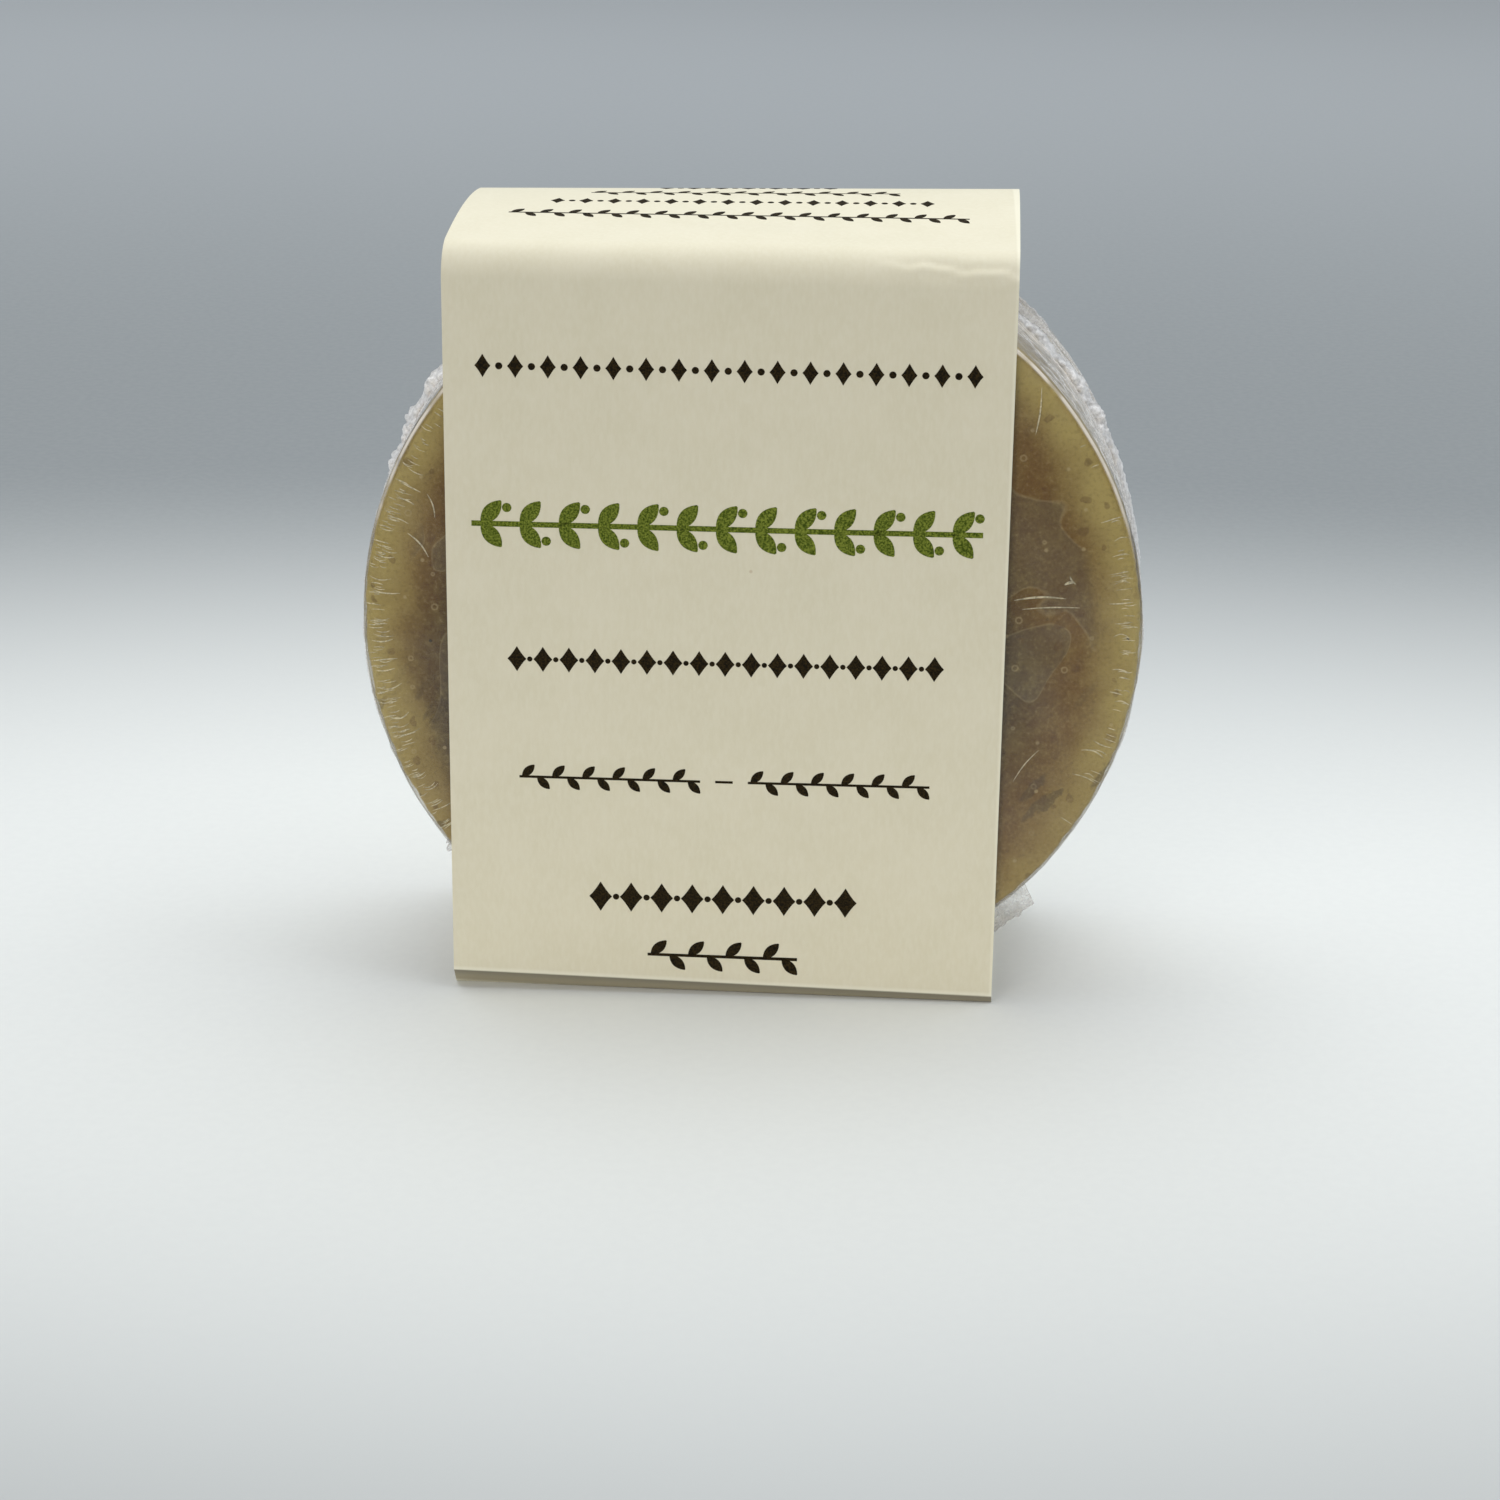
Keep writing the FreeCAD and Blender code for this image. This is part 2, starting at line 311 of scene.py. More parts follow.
SOAP_RIM = tint(182, 161, 94)
SOAP_MIDDLE = tint(115, 81, 24)
# The dark core: partly the soap's own darker middle, partly painted shade from the band over the face.
SOAP_CORE_AND_SHADE = tint(60, 45, 14)
SOAP_WET = tint(100, 86, 62)
SOAP_SPECK = tint(22, 15, 6)
SOAP_BLOTCH = tint(92, 58, 16)
SOAP_STREAK = tint(64, 46, 20)
SOAP_BUBBLE = tint(190, 170, 124)
CORE_SHIFT_X = 2.4 * MM
CORE_SHIFT_Z = 7 * MM
STREAK_SLANT = math.radians(-52)


def soap_zones(n, x, z, radius):
    """The cake's broad colours: a pale rim, a tan middle that spreads low down, and a dark core that is
    partly the soap's own and partly painted shade from the band over the face.
    """
    from_core = n.length(n.plus(x, CORE_SHIFT_X), n.plus(z, CORE_SHIFT_Z))
    out_of_core = n.fade(n.plus(from_core, n.wander(75, 6 * MM)), 25 * MM, 34 * MM)
    in_rim = n.fade(n.plus(radius, n.wander(160, 3.5 * MM)), 32 * MM, 37.5 * MM)
    low_down = n.fade(z, -4 * MM, -26 * MM, 0.0, 0.5)
    colour = n.blend(out_of_core, SOAP_CORE_AND_SHADE, SOAP_MIDDLE)
    colour = n.blend(in_rim, colour, SOAP_RIM)
    return n.blend(low_down, colour, SOAP_MIDDLE)


def soap_patches(n, colour, radius):
    """Smooth patches where the film clings to the soap and wets it, with a thin pale outline."""
    field = n.noise(n.place, 85, 1.2, 0.4, 0.9)
    inside = n.fade(radius, 34.5 * MM, 32.5 * MM)
    wet = n.fade(field, 0.5, 0.512, 0.0, 0.5)
    outline = n.fade(n.gap(field, 0.506), 0.009, 0.002, 0.0, 0.2)
    colour = n.blend(n.times(wet, inside), colour, SOAP_WET)
    return n.blend(n.times(outline, inside), colour, SOAP_BUBBLE)


def soap_marks(n, colour, flat):
    """Brown blotches, slanted streaks, ring-shaped bubbles, pale dots and dark specks."""
    warp = n.add("TexNoise", {"Vector": n.place, "Scale": 900, "Detail": 2.0}).outputs["Color"]
    shake = n.add("VectorMath", {0: warp, "Scale": 0.9 * MM}, operation="SCALE").outputs[0]
    shaken = n.add("VectorMath", {0: flat, 1: shake}, operation="ADD").outputs[0]
    near, pick, size = n.cells(shaken, 520)
    past_edge = n.minus(near, n.plus(n.times(size, 0.16), 0.12))
    blotch = n.times(n.fade(past_edge, 0.04, -0.03), n.fade(pick, 0.76, 0.8, 0.0, 0.42))
    colour = n.blend(blotch, colour, SOAP_BLOTCH)

    slanted = n.add("Mapping", {"Vector": shaken, "Rotation": (0, 0, STREAK_SLANT)}).outputs["Vector"]
    low_down = n.fade(n.split(flat)[1], -4 * MM, -11 * MM, 0.075, 0.5)
    streak = n.dots(n.stretch(slanted, (1, 4, 1)), 170, (0.36, 0.24), (0.62, 0.66))
    colour = n.blend(n.times(streak, low_down), colour, SOAP_STREAK)

    near, pick, size = n.cells(flat, 420)
    from_edge = n.gap(near, n.plus(n.times(size, 0.1), 0.05))
    ring = n.times(n.fade(from_edge, 0.055, 0.02), n.fade(pick, 0.86, 0.88, 0.0, 0.34))
    colour = n.blend(ring, colour, SOAP_BUBBLE)

    dot = n.dots(flat, 560, (0.16, 0.05), (0.93, 0.95))
    colour = n.blend(n.times(dot, 0.55), colour, SOAP_BUBBLE)
    speck = n.dots(flat, 380, (0.075, 0.04), (0.975, 0.98))
    return n.blend(speck, colour, SOAP_SPECK)


def soap_material():
    """Olive and tan soap, softly translucent, with its marks on the faces only."""
    n = Nodes("handmade_soap")
    x, z, y, radius, _ = n.polar()
    flat = n.add("CombineXYZ", {0: x, 1: z}).outputs[0]
    fine = n.noise(n.place, 1300, 6, 0.7)
    mottle = n.noise(n.place, 380, 5, 0.65)
    grain = n.noise(n.place, 2600, 3, 0.6)
    on_face = n.fade(n.maths("ABSOLUTE", y), SOAP_HALF - 1.2 * MM, SOAP_HALF - 0.5 * MM)
    colour = soap_zones(n, x, z, radius)
    colour = soap_patches(n, colour, radius)
    colour = n.blend(n.fade(mottle, 0.4, 0.68, 0.0, 0.1), colour, SOAP_BLOTCH)
    colour = n.blend(n.fade(mottle, 0.55, 0.3, 0.0, 0.1), colour, SOAP_RIM)
    colour = n.blend(on_face, colour, soap_marks(n, colour, flat))
    colour = n.blend(n.fade(fine, 0.35, 0.75, 0.0, 0.16), colour, SOAP_RIM)
    colour = n.blend(n.fade(grain, 0.5, 0.32, 0.0, 0.16), colour, SOAP_SPECK)
    colour = n.blend(n.fade(grain, 0.54, 0.7, 0.0, 0.14), colour, SOAP_BUBBLE)
    height = n.plus(n.times(fine, 0.5), n.times(mottle, 0.8))
    return n.finish(n.principled({
        "Base Color": colour,
        "Roughness": n.fade(mottle, 0.3, 0.7, 0.45, 0.62),
        "Specular IOR Level": 0.3,
        "Subsurface Weight": 0.06,
        "Subsurface Radius": (1.0, 0.7, 0.35),
        "Subsurface Scale": 0.4 * MM,
        "Normal": n.bump(height, 0.3, 0.12 * MM),
    }))


FACE_HAZE = 0.03
WALL_HAZE = 0.7
STREAK_HAZE = 0.9
WALL_PER_RADIAN = 0.038


def film_on_wall(n, y, turned, streak):
    """How milky the film is along the wall: cloudy, streaked round the cake and frosted beside the weld."""
    off_weld = n.gap(y, SEAM_MIDDLE - CENTRE.y)
    by_weld = n.fade(off_weld, 9 * MM, 1.5 * MM, 0.45, 1.0)
    cloud = n.times(n.fade(n.noise(n.stretch(turned, (70, 170, 1)), 1, 3), 0.3, 0.64, 0.5, 1.0), by_weld)
    streaks = n.times(n.fade(streak, 0.44, 0.6), cloud, STREAK_HAZE)
    frost = n.times(n.fade(off_weld, 2.6 * MM, 1.2 * MM), n.fade(streak, 0.3, 0.55, 0.35, 0.9))
    return n.maths("MAXIMUM", n.plus(n.times(cloud, WALL_HAZE), streaks), frost)


def film_edge_highlight(n, z, depth, radius):
    """How milky the film is in a broken line along the upper edge of a face: a painted highlight on the
    film's rounded edge.
    """
    on_line = n.fade(n.gap(depth, FILM_HALF - 0.3 * MM), 0.24 * MM, 0.08 * MM)
    high_up = n.fade(z, 4 * MM, 16 * MM)
    at_rim = n.fade(radius, 36.5 * MM, 37.3 * MM)
    broken = n.fade(n.noise(n.place, 300, 3), 0.3, 0.6, 0.35, 0.85)
    return n.times(on_line, high_up, at_rim, broken)


def clear_film_material():
    """Clear glossy film: it mirrors at a slant, and goes milky where it is creased on the wall."""
    n = Nodes("clear_film")
    _, z, y, radius, angle = n.polar()
    depth = n.maths("ABSOLUTE", y)
    turned = n.add("CombineXYZ", {0: n.times(angle, WALL_PER_RADIAN), 1: y, 2: radius}).outputs[0]
    streak = n.noise(n.stretch(turned, (110, 3200, 1)), 1, 6, 0.72, 0.6)
    on_wall = n.fade(depth, FILM_HALF - 0.3 * MM, FILM_HALF - 1.0 * MM)
    face_haze = n.fade(n.noise(n.place, 120, 4, 0.6, 0.4), 0.4, 0.75, 0.0, FACE_HAZE)
    wall_haze = n.times(on_wall, film_on_wall(n, y, turned, streak))
    haze = n.maths("ADD", wall_haze, n.times(n.rest(on_wall), face_haze), clamp=True)
    # Painted highlight: a milky broken line along the upper edge of each face.
    haze = n.maths("MAXIMUM", haze, film_edge_highlight(n, z, depth, radius))

    swell = n.noise(n.stretch(turned, (220, 900, 120)), 1, 4, 0.6)
    normal = n.bump(n.plus(swell, n.times(streak, 0.35)), 0.35, 0.12 * MM)
    mirror = n.add("Fresnel", {"IOR": 1.5, "Normal": normal}).outputs[0]
    cover = n.rest(n.times(n.rest(mirror), n.rest(haze)))
    mirror_share = n.maths("DIVIDE", mirror, n.maths("MAXIMUM", cover, 0.001), clamp=True)
    milk = n.principled({"Base Color": tint(255, 245, 230), "Roughness": 0.5, "Normal": normal})
    gloss = n.add("BsdfGlossy", {"Color": (1, 1, 1, 1), "Roughness": 0.12, "Normal": normal}).outputs[0]
    clear = n.add("BsdfTransparent", {"Color": (0.99, 0.99, 0.985, 1)}).outputs[0]
    front_side = n.rest(n.add("NewGeometry").outputs["Backfacing"])
    return n.finish(n.mix(n.times(cover, front_side), clear, n.mix(mirror_share, milk, gloss)))


def frosted_material(name, low, high, colour, rough=0.35, coat=0.6, relief=0.6):
    """Creased or melted film, greyed with painted shade in the hollows of its crumples. low and high are how
    much it covers between its crumples and on them, and colour is its tone on the faces."""
    n = Nodes(name)
    radius = n.polar()[3]
    on_wall = n.fade(radius, FILM_RADIUS - 0.5 * MM, FILM_RADIUS - 0.1 * MM)
    tone = n.blend(on_wall, tint(*colour), tint(252, 249, 246))
    crumple = n.noise(n.place, 1900, 5, 0.7, 0.5)
    broad = n.noise(n.place, 260, 3)
    cover = n.fade(n.plus(crumple, n.times(broad, 0.5)), 0.55, 0.95, low, high)
    # Painted shade: grey blended into the hollows of the crumples.
    shader = n.principled({
        "Base Color": n.blend(n.fade(crumple, 0.6, 0.35, 0.0, 0.25), tone, tint(150, 146, 140)),
        "Roughness": rough,
        "Coat Weight": coat,
        "Coat Roughness": 0.12,
        "Sheen Weight": 0.8,
        "Subsurface Weight": 0.35,
        "Subsurface Radius": (1.0, 1.0, 0.95),
        "Subsurface Scale": 0.8 * MM,
        "Normal": n.bump(crumple, relief, 0.12 * MM),
    })
    return n.finish(n.mix(cover, n.add("BsdfTransparent").outputs[0], shader))


def paper_material():
    """Cream card with faint fibres, mottling and flecks, with painted highlights along its cut edges and its
    lower crease, and painted shade below that crease."""
    n = Nodes("cream_card")
    x, y, z = n.split(n.place)
    fibre = n.noise(n.stretch(n.place, (1.0, 1.0, 0.35)), 2600, 5, 0.6)
    mottle = n.noise(n.place, 180, 4, 0.55)
    colour = n.blend(n.fade(mottle, 0.35, 0.7), tint(230, 222, 194), tint(233, 225, 198))
    colour = n.blend(n.fade(fibre, 0.3, 0.75, 0.0, 0.4), colour, tint(241, 235, 213))
    # Painted highlight: the card is paler in a thin stripe along its cut edges, where the edges catch the
    # light.
    cut_edge_highlight = n.fade(n.gap(x, BAND_MIDDLE), BAND_HALF - 0.3 * MM, BAND_HALF - 0.05 * MM, 0.0, 0.55)
    colour = n.blend(cut_edge_highlight, colour, tint(250, 244, 220))

    crease_rise = n.times(n.minus(x, BAND_MIDDLE), CREASE_TILT / BAND_HALF)
    above_crease = n.minus(n.plus(z, crease_rise), CREASE_HEIGHT)
    # Painted highlight: a pale band along the lower crease, where its rounding catches the light.
    colour = n.blend(n.fade(above_crease, 0.5 * MM, 0.1 * MM, 0.0, 0.6), colour, tint(250, 246, 226))
    # Painted shade: on the front, the paper below the crease is painted dark, darkest just under the crease,
    # where shadow falls in the gap above the floor.
    on_front = n.fade(y, band_low.y + 1.7 * MM, band_low.y + 1.1 * MM, 0.0, 0.8)
    below_crease_shade = n.times(n.fade(above_crease, 0.05 * MM, -0.2 * MM), on_front)
    undercut_shade = n.blend(n.fade(above_crease, -0.1 * MM, -1.3 * MM), tint(74, 62, 36), tint(140, 127, 94))
    colour = n.blend(below_crease_shade, colour, undercut_shade)

    fleck = n.dots(n.place, 150, (0.045, 0.03), (0.93, 0.94), "3D")
    colour = n.blend(n.times(fleck, 0.35), colour, tint(176, 140, 84))
    return n.finish(n.principled({
        "Base Color": colour,
        "Roughness": n.fade(fibre, 0.3, 0.7, 0.62, 0.78),
        "Sheen Weight": 0.1,
        "Normal": n.bump(n.plus(fibre, mottle), 0.12, 0.06 * MM),
    }))


def ink_material(name, dark, light):
    """Printed ink with the speckle of a desk printer."""
    n = Nodes(name)
    grain = n.noise(n.place, 5200, 3, 0.6)
    return n.finish(n.principled({
        "Base Color": n.blend(n.fade(grain, 0.35, 0.68), dark, light),
        "Roughness": n.fade(grain, 0.3, 0.7, 0.6, 0.75),
        "Specular IOR Level": 0.1,
        "Normal": n.bump(grain, 0.15, 0.03 * MM),
    }))


def glue_material():
    """A pale dried adhesive with small ripples."""
    n = Nodes("dried_glue")
    wave = n.noise(n.stretch(n.place, (1, 3, 1)), 420, 4)
    return n.finish(n.principled({
        "Base Color": n.blend(wave, tint(224, 214, 180), tint(240, 233, 208)),
        "Roughness": n.fade(wave, 0.3, 0.7, 0.3, 0.5),
        "Normal": n.bump(wave, 0.3, 0.05 * MM),
    }))


# ---------------- the surface of the cake and its wrap

def pressed(angle):
    """1 where the band presses on the cake, over the top and the bottom, and 0 on the open sides."""
    return smooth(0.72, 0.99, np.abs(np.sin(angle)))


def wrap_point(angle, run, side, radius, half, bulge=0.0):
    """A point of a disc's rounded skin. run is the distance outwards along the skin from the foot of the edge
    rounding: negative on the flat face, positive over the edge and along the wall. side is -1 for the front.
    bulge moves the point outwards, square to the skin."""
    edge = OPEN_EDGE + (PRESSED_EDGE - OPEN_EDGE) * pressed(angle)
    open_length = EDGE_RUN + half - OPEN_EDGE
    run_here = np.maximum(run, 0) * (edge * math.pi / 2 + half - edge) / open_length
    corner = np.clip(run_here / edge, 0, math.pi / 2)
    across = (radius - edge) * (1 + np.minimum(run, 0) / (radius - OPEN_EDGE)) + edge * np.sin(corner)
    past = np.maximum(run_here - edge * math.pi / 2, 0)
    depth = half - edge + edge * np.cos(corner) - past
    out = across + bulge * np.sin(corner)
    height = depth + bulge * np.cos(corner)
    spots = np.broadcast_arrays(out * np.cos(angle), side * height, out * np.sin(angle))
    return np.stack(spots, axis=-1) + np.array(CENTRE)


def film_bulge(angle, run):
    """How far the film stands off the cake beyond its snug place: loose swells on the open sides."""
    on_wall = smooth(0.5 * MM, 2.5 * MM, run)
    swell = 0.5 + 0.5 * ripple(angle, run, 11, (3, 26), (0, 60))
    crinkle = 0.5 + 0.5 * ripple(angle, run, 12, (40, 150), (60, 420), 40)
    loose = on_wall * (0.05 * swell + 0.09 * crinkle) + (1 - on_wall) * 0.03 * swell
    return loose * MM * (1 - pressed(angle))


RING = 768
SMALLEST_RING = 12
CROWDED = 0.62
FACE_SHARES = (0.02, 0.04, 0.075, 0.14, 0.2, 0.27, 0.34, 0.41, 0.48, 0.54, 0.6, 0.66, 0.72, 0.77, 0.82, 0.86,
               0.89, 0.92, 0.94, 0.955, 0.97, 0.98, 0.99)
DENT = 0.05 * MM
WEAR = 0.12 * MM


def skin_runs(radius, wall, edge_steps, wall_steps):
    """Distances along a disc's skin: over its face, round the edge and along the wall."""
    runs = [(radius - OPEN_EDGE) * (share - 1) for share in FACE_SHARES]
    runs += [EDGE_RUN * k / edge_steps for k in range(edge_steps + 1)]
    runs += [EDGE_RUN + wall * k / wall_steps for k in range(1, wall_steps + 1)]
    return runs


def skin_rings(radius, runs):
    """Each distance with the angles of its ring: RING of them at the rim, halved as the rings get small."""
    for run in runs:
        count = RING
        size = radius + min(run, 0)
        while count > SMALLEST_RING and size < SOAP_RADIUS * count / RING * CROWDED:
            count //= 2
        yield run, np.linspace(0, 2 * math.pi, count, endpoint=False)


def build_soap(material):
    """The cake: slightly uneven faces and wall, and an edge that is a little worn."""
    runs = skin_runs(SOAP_RADIUS, SOAP_HALF - OPEN_EDGE, 6, 7)
    rings = []
    for side in (-1, 1):
        half_rings = []
        for run, angle in skin_rings(SOAP_RADIUS, runs):
            uneven = 0.5 + 0.5 * ripple(angle, run, 21 + side, (2, 40), (10, 120))
            worn = 0.5 + 0.5 * ripple(angle, run, 31 + side, (20, 160), (0, 50))
            sunk = DENT * uneven + WEAR * worn * smooth(-1.5 * MM, 0.4 * MM, run)
            half_rings.append(wrap_point(angle, run, side, SOAP_RADIUS, SOAP_HALF, -sunk))
        rings += half_rings if side < 0 else half_rings[-2::-1]
    corners, faces = stack_rings(rings)
    add_piece("soap_cake", corners, faces, material, "puck", ["soap_puck"])


def film_point(angle, run, side, off):
    """A point at a distance off the outer side of the film."""
    return wrap_point(angle, run, side, FILM_RADIUS, FILM_HALF, film_bulge(angle, run) + off)


def build_film(name, side, brim, material, node):
    """One sheet of film as a thin closed shell: out over its face, round the edge and along the wall to its
    brim at the weld, then back on its inner side."""
    wall = abs(brim - CENTRE.y - side * FILM_HALF) - OPEN_EDGE
    outer, inner = [], []
    for run, angle in skin_rings(FILM_RADIUS, skin_runs(FILM_RADIUS, wall, 5, 18)):
        outer.append(film_point(angle, run, side, 0))
        inner.append(film_point(angle, run, side, -FILM_THICKNESS))
    corners, faces = stack_rings(outer + inner[::-1])
    add_piece(name, corners, faces, material, "puck", [node], sharp=60)


# ---------------- pinched folds in the film

FOLD_TIP = 0.12


def pinch(angle, run, side, width, height):
    """The rings of one pinched fold: a low ridge that tapers at both ends, along a path on the film."""
    taper = np.sin(np.linspace(FOLD_TIP, math.pi - FOLD_TIP, len(angle)))
    base = film_point(angle, run, side, -0.01 * MM)
    normal = unit(film_point(angle, run, side, 1 * MM) - base)
    sideways = np.cross(unit(np.gradient(base, axis=0)), normal)
    half_width = (taper ** 0.7 * width / 2)[:, None] * sideways
    top = (taper * height)[:, None] * normal
    under = 0.015 * MM * normal
    return np.stack([base + half_width, base + top, base - half_width, base - under], axis=1)


def join_tubes(tubes):
    """One closed mesh from many short tubes."""
    corners, faces, first = [], [], 0
    for tube in tubes:
        rings, around = tube.shape[:2]
        corners.append(tube.reshape(-1, 3))
        faces += tube_faces(tube, first)
        last = first + (rings - 1) * around
        faces.append(tuple(range(first, first + around)))
        faces.append(tuple(range(last, last + around)))
        first += rings * around
    return np.concatenate(corners), faces


# Where the film is gathered round the rim: the middle of each stretch and its spread.
GATHERED = [(math.radians(-3), math.radians(20)), (math.radians(172), math.radians(34))]
LONG_FOLDS = 0.07


def rim_pinches(side, seed, count):
    """Short curved folds that point inwards from the edge of the face, as shrunk film gathers there."""
    rng = np.random.default_rng(seed)
    tubes = []
    for start in np.sort(rng.uniform(-math.pi, math.pi, count)):
        gathered = max(math.exp(-((abs(start) - middle) / spread) ** 2) for middle, spread in GATHERED)
        if rng.random() > gathered or pressed(start) > 0.3:
            continue
        long_one = rng.random() < LONG_FOLDS
        length = rng.uniform(1.8, 2.8) * MM if long_one else rng.uniform(0.6, 1.7) * MM
        outer_run = rng.uniform(-0.6, 0.5) * MM
        drift = 0.08 * float(ripple(start, 0, seed + 5, (2, 9), (0, 0), 8)) + rng.normal(0, 0.04)
        lean = drift * length / FILM_RADIUS
        bow = rng.normal(0.05, 0.08) * length / FILM_RADIUS
        share = np.linspace(0, 1, 8)
        angle = start + lean * share + bow * np.sin(share * math.pi)
        run = outer_run - length * share
        width = rng.uniform(0.06, 0.12) * MM * (1.4 if long_one else 1)
        tubes.append(pinch(angle, run, side, width, rng.uniform(0.01, 0.025) * MM))
    return tubes


def wall_streaks(side, seed, count):
    """Long folds that run round the wall, close to square with the cake's axis."""
    rng = np.random.default_rng(seed)
    tubes = []
    for _ in range(count):
        start = rng.uniform(0, 2 * math.pi)
        length = rng.uniform(2, 9) * MM / FILM_RADIUS
        if pressed(start) > 0.2 or pressed(start + length) > 0.2:
            continue
        share = np.linspace(0, 1, 12)
        middle = rng.uniform(1.5, 11.5) * MM
        run = middle + rng.normal(0, 0.5) * MM * share
        run = run + rng.normal(0, 0.15) * MM * np.sin(share * math.pi * 2)
        run = np.clip(run, 1.3 * MM, 12 * MM)
        tubes.append(pinch(start + length * share, run, side, rng.uniform(0.12, 0.3) * MM,
                           rng.uniform(0.04, 0.12) * MM))
    return tubes


FACE_CREASES = [
    # from (x, z), to (x, z) from the cake's middle, bow, width: all in millimetres
    ((25.6, 3.9), (30.6, 4.2), 0.25, 0.22),
    ((26.4, 3.0), (32.0, 3.3), 0.12, 0.14),
    ((30.4, 5.6), (31.4, 5.9), 0.1, 0.3),
    ((30.9, 6.5), (31.5, 5.7), -0.1, 0.2),
    ((27.4, 25.2), (27.0, 20.6), 0.15, 0.16),
    ((26.2, -15.0), (28.6, -11.6), 0.2, 0.1),
    ((-33.6, 9.2), (-31.6, 6.8), 0.25, 0.16),
    ((-31.6, 13.2), (-30.9, 10.8), 0.2, 0.14),
    ((-14.0, 17.0), (-3.0, 19.5), 0.8, 0.16),
    ((4.0, -22.0), (15.0, -25.0), 0.7, 0.14),
]


def face_creases(side):
    """A few longer creases in the film that lies on a face."""
    tubes = []
    share = np.linspace(0, 1, 14)
    for (x0, z0), (x1, z1), bow, width in FACE_CREASES:
        length = math.hypot(x1 - x0, z1 - z0)
        lift = bow * np.sin(share * math.pi)
        x = (x0 + (x1 - x0) * share - (z1 - z0) / length * lift) * MM * -side
        z = (z0 + (z1 - z0) * share + (x1 - x0) / length * lift) * MM
        run = np.hypot(x, z) - (FILM_RADIUS - OPEN_EDGE)
        tubes.append(pinch(np.unwrap(np.arctan2(z, x)), run, side, width * MM, 0.03 * MM))
    return tubes


def build_folds(side, name, material, seed):
    """All the folds of one sheet of film as one piece."""
    tubes = rim_pinches(side, seed, 900) + wall_streaks(side, seed + 1, 700) + face_creases(side)
    corners, faces = join_tubes(tubes)
    add_piece(name, corners, faces, material, "puck", sharp=80)


# ---------------- the weld

# Where the weld is crumpled most: the middle of each stretch and its spread.
CRUMPLED = [(math.radians(33), 0.2), (math.radians(153), 0.3), (math.radians(228), 0.25)]
WELD_HALF_WIDTH = 0.8 * MM
WELD_HEIGHT = 0.38 * MM
WELD_WANDER = 0.2 * MM


def build_weld(material):
    """The crumpled ridge where the two sheets are melted together, flat where the band presses on it."""
    along, around = 2200, 18
    angle = np.linspace(0, 2 * math.pi, along, endpoint=False)[:, None]
    section = np.linspace(0, 2 * math.pi, around, endpoint=False)[None, :]
    turn = section / (2 * math.pi)
    lump = (ripple(angle, turn, 51, (20, 80), (1, 4), 50)
            + 0.7 * ripple(angle, turn, 55, (90, 260), (2, 6), 60)
            + 0.35 * ripple(angle, turn, 56, (300, 600), (2, 6), 60)) / 1.5
    strength = 0.3 + sum(np.exp(-((angle - middle) / spread) ** 2) for middle, spread in CRUMPLED)
    coarse = ripple(angle, 0, 52, (14, 60), (0, 0)) * strength * MM
    half_width = WELD_HALF_WIDTH + 0.5 * strength * MM + 0.15 * coarse
    height = WELD_HEIGHT + 0.32 * strength * MM + 0.18 * coarse
    wave = 1 + (0.08 + 0.2 * strength) * lump
    wander = ripple(angle, 0, 53, (3, 40), (0, 0)) * WELD_WANDER
    depth = SEAM_MIDDLE + wander + half_width * np.cos(section) * wave
    rise = np.maximum(np.sin(section), -0.25) * height * wave
    out = FILM_RADIUS + rise + 0.02 * MM
    x = CENTRE.x + out * np.cos(angle)
    z = CENTRE.z + np.clip(out * np.sin(angle), -FILM_RADIUS, FILM_RADIUS)
    grid = np.stack(np.broadcast_arrays(x, depth, z), axis=-1)
    faces = tube_faces(grid)
    faces += stitch(around, around, (along - 1) * around, 0)
    add_piece("film_weld_ridge", grid.reshape(-1, 3), faces, material, "puck", ["film_seam"],
              sharp=80)


def hem(path, size):
    """A thin square-sectioned tube along a path, the rolled edge of a flap of film."""
    sideways = np.cross(unit(np.gradient(path, axis=0)), (0, 1, 0)) * size
    depth = np.broadcast_to(np.array([0, size, 0]), path.shape)
    return np.stack([path + sideways, path + depth, path - sideways, path - depth], axis=1)


FLAPS = [
    # name, middle and spread in degrees, reach and lean in millimetres, seed, taper, ruffle and raggedness
    ("film_flap_lower_right", -50.5, 9, 3.5, -8.0, 91, 0.05, 0.2, 0.03),
    ("film_flap_lower_left", -138.5, 8, 1.9, -8.0, 93, 0.45, 0.25, 0.12),
    ("film_flap_upper_right", 50, 14, 1.5, 0.3, 95, 0.25, 0.15, 0.05),
]


